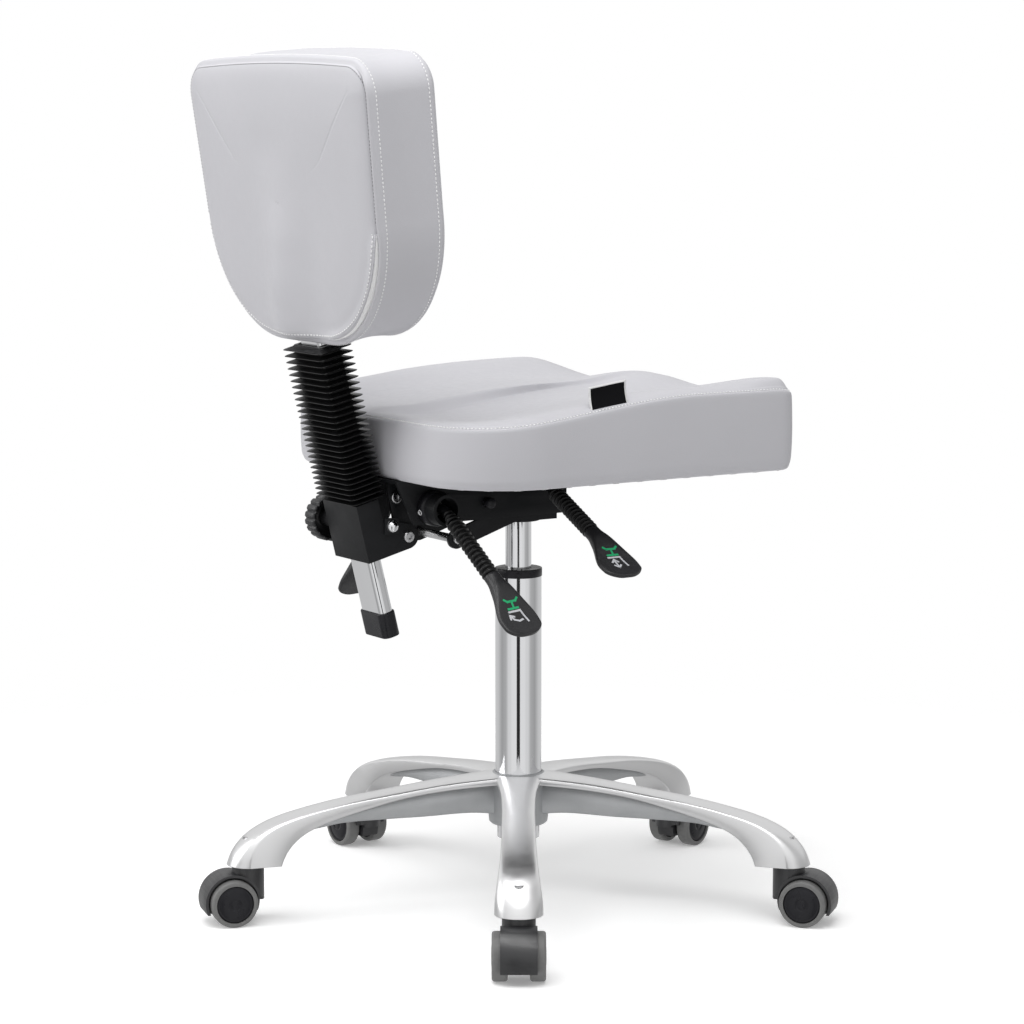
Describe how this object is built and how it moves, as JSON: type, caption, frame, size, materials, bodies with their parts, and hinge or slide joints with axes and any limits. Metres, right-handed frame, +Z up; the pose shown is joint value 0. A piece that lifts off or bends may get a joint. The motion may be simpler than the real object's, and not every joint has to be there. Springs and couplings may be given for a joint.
{
  "type": "medical stool",
  "caption": "Clinic stool with a contoured seat, a sliding and tilting backrest on a pleated bar, a gas-lift column, side levers and a star base on twin-wheel casters.",
  "frame": {"origin": "on the floor, under the axis of the column", "axes": "+Z up along the column, +X towards the front edge of the seat, +Y to the sitter's left"},
  "size_m": [0.68, 0.6578, 0.9195],
  "materials": {
    "leatherette": "smooth light grey leatherette",
    "plywood": "plain birch plywood",
    "black_powder": "satin black powder coat",
    "black_plastic": "fine-grained black plastic",
    "black_rubber": "matt black rubber",
    "grey_tread": "soft grey tread",
    "chrome": "mirror chrome",
    "polished_aluminium": "polished casting",
    "steel": "zinc-plated steel"
  },
  "bodies": {
    "base": {"base_star": "polished_aluminium", "column_tube": "chrome", "guide_bush": "black_plastic", "thrust_bearing": "steel"},
    "caster_1": {"caster_1_hood": "black_plastic", "caster_1_pins": "steel"},
    "wheel_1_left": {"caster_1_wheel_left": "black_plastic", "caster_1_tread_left": "grey_tread"},
    "wheel_1_right": {"caster_1_wheel_right": "black_plastic", "caster_1_tread_right": "grey_tread"},
    "caster_2": {"caster_2_hood": "black_plastic", "caster_2_pins": "steel"},
    "wheel_2_left": {"caster_2_wheel_left": "black_plastic", "caster_2_tread_left": "grey_tread"},
    "wheel_2_right": {"caster_2_wheel_right": "black_plastic", "caster_2_tread_right": "grey_tread"},
    "caster_3": {"caster_3_hood": "black_plastic", "caster_3_pins": "steel"},
    "wheel_3_left": {"caster_3_wheel_left": "black_plastic", "caster_3_tread_left": "grey_tread"},
    "wheel_3_right": {"caster_3_wheel_right": "black_plastic", "caster_3_tread_right": "grey_tread"},
    "caster_4": {"caster_4_hood": "black_plastic", "caster_4_pins": "steel"},
    "wheel_4_left": {"caster_4_wheel_left": "black_plastic", "caster_4_tread_left": "grey_tread"},
    "wheel_4_right": {"caster_4_wheel_right": "black_plastic", "caster_4_tread_right": "grey_tread"},
    "caster_5": {"caster_5_hood": "black_plastic", "caster_5_pins": "steel"},
    "wheel_5_left": {"caster_5_wheel_left": "black_plastic", "caster_5_tread_left": "grey_tread"},
    "wheel_5_right": {"caster_5_wheel_right": "black_plastic", "caster_5_tread_right": "grey_tread"},
    "piston": {"piston_rod": "chrome"},
    "lift": {"gas_cylinder": "chrome", "tilt_housing": "black_powder", "tilt_pins": "steel"},
    "seat": {"seat_plate": "black_powder", "seat_bolts": "steel", "seat_board": "plywood", "seat_cushion": "leatherette"},
    "back": {"back_bracket": "black_powder", "bracket_bolts": "chrome", "bellows": "black_rubber"},
    "knob": {"clamp_screw": "steel", "clamp_knob": "black_plastic"},
    "bar": {"back_bar": "chrome", "bar_end_cap": "black_plastic", "back_board": "plywood", "back_cushion": "leatherette"},
    "lift_lever": {"lift_lever_rod": "black_powder", "lift_lever_sleeve": "black_rubber", "lift_lever_paddle": "black_plastic"},
    "tilt_lever": {"tilt_lever_rod": "black_powder", "tilt_lever_sleeve": "black_rubber", "tilt_lever_paddle": "black_plastic"},
    "back_lever": {"back_lever_rod": "black_powder", "back_lever_sleeve": "black_rubber", "back_lever_paddle": "black_plastic"}
  },
  "joints": [
    {"name": "caster_1_swivel", "type": "hinge", "parent": "base", "child": "caster_1", "pos_m": [0.28194, 0.10823, 0.055], "axis": [0, 0, 1], "continuous": true},
    {"name": "wheel_1_left_roll", "type": "hinge", "parent": "caster_1", "child": "wheel_1_left", "pos_m": [0.2938, 0.13313, 0.025], "axis": [-0.3584, 0.9336, 0], "continuous": true},
    {"name": "wheel_1_right_roll", "type": "hinge", "parent": "caster_1", "child": "wheel_1_right", "pos_m": [0.30742, 0.09766, 0.025], "axis": [-0.3584, 0.9336, 0], "continuous": true},
    {"name": "caster_2_swivel", "type": "hinge", "parent": "base", "child": "caster_2", "pos_m": [-0.0158, 0.30159, 0.055], "axis": [0, 0, 1], "continuous": true},
    {"name": "wheel_2_left_roll", "type": "hinge", "parent": "caster_2", "child": "wheel_2_left", "pos_m": [-0.03583, 0.32056, 0.025], "axis": [-0.9986, -0.0523, 0], "continuous": true},
    {"name": "wheel_2_right_roll", "type": "hinge", "parent": "caster_2", "child": "wheel_2_right", "pos_m": [0.00212, 0.32255, 0.025], "axis": [-0.9986, -0.0523, 0], "continuous": true},
    {"name": "caster_3_swivel", "type": "hinge", "parent": "base", "child": "caster_3", "pos_m": [-0.29171, 0.07816, 0.055], "axis": [0, 0, 1], "continuous": true},
    {"name": "wheel_3_left_roll", "type": "hinge", "parent": "caster_3", "child": "wheel_3_left", "pos_m": [-0.31595, 0.06499, 0.025], "axis": [-0.2588, -0.9659, 0], "continuous": true},
    {"name": "wheel_3_right_roll", "type": "hinge", "parent": "caster_3", "child": "wheel_3_right", "pos_m": [-0.30611, 0.10169, 0.025], "axis": [-0.2588, -0.9659, 0], "continuous": true},
    {"name": "caster_4_swivel", "type": "hinge", "parent": "base", "child": "caster_4", "pos_m": [-0.16448, -0.25328, 0.055], "axis": [0, 0, 1], "continuous": true},
    {"name": "wheel_4_left_roll", "type": "hinge", "parent": "caster_4", "child": "wheel_4_left", "pos_m": [-0.15944, -0.2804, 0.025], "axis": [0.8387, -0.5446, 0], "continuous": true},
    {"name": "wheel_4_right_roll", "type": "hinge", "parent": "caster_4", "child": "wheel_4_right", "pos_m": [-0.19131, -0.2597, 0.025], "axis": [0.8387, -0.5446, 0], "continuous": true},
    {"name": "caster_5_swivel", "type": "hinge", "parent": "base", "child": "caster_5", "pos_m": [0.19006, -0.2347, 0.055], "axis": [0, 0, 1], "continuous": true},
    {"name": "wheel_5_left_roll", "type": "hinge", "parent": "caster_5", "child": "wheel_5_left", "pos_m": [0.21741, -0.23828, 0.025], "axis": [0.7771, 0.6293, 0], "continuous": true},
    {"name": "wheel_5_right_roll", "type": "hinge", "parent": "caster_5", "child": "wheel_5_right", "pos_m": [0.18787, -0.2622, 0.025], "axis": [0.7771, 0.6293, 0], "continuous": true},
    {"name": "seat_swivel", "type": "hinge", "parent": "base", "child": "piston", "pos_m": [0, 0, 0.0763], "axis": [0, 0, 1], "continuous": true},
    {"name": "seat_lift", "type": "slide", "parent": "piston", "child": "lift", "axis": [0, 0, 1], "range_m": [-0.045, 0.095]},
    {"name": "seat_tilt", "type": "hinge", "parent": "lift", "child": "seat", "pos_m": [0.011, 0, 0.4463], "axis": [0, 1, 0], "range_deg": [-3, 10]},
    {"name": "back_tilt", "type": "hinge", "parent": "seat", "child": "back", "pos_m": [-0.16, 0, 0.4163], "axis": [0, -1, 0], "range_deg": [0, 15]},
    {"name": "back_height", "type": "slide", "parent": "back", "child": "bar", "axis": [-0.2419, 0, 0.9703], "range_m": [-0.04, 0.06], "deforming": ["bellows"]},
    {"name": "knob_turn", "type": "hinge", "parent": "back", "child": "knob", "pos_m": [-0.20014, 0.04, 0.42891], "axis": [0, 1, 0], "range_deg": [-180, 180]},
    {"name": "lift_lever_rock", "type": "hinge", "parent": "seat", "child": "lift_lever", "pos_m": [-0.008, -0.05, 0.4646], "axis": [-1, 0, 0], "range_deg": [0, 4.5]},
    {"name": "tilt_lever_rock", "type": "hinge", "parent": "seat", "child": "tilt_lever", "pos_m": [-0.145, -0.05, 0.4483], "axis": [-1, 0, 0], "range_deg": [0, 10]},
    {"name": "back_lever_rock", "type": "hinge", "parent": "seat", "child": "back_lever", "pos_m": [-0.109, 0.05, 0.4483], "axis": [1, 0, 0], "range_deg": [0, 10]}
  ]
}
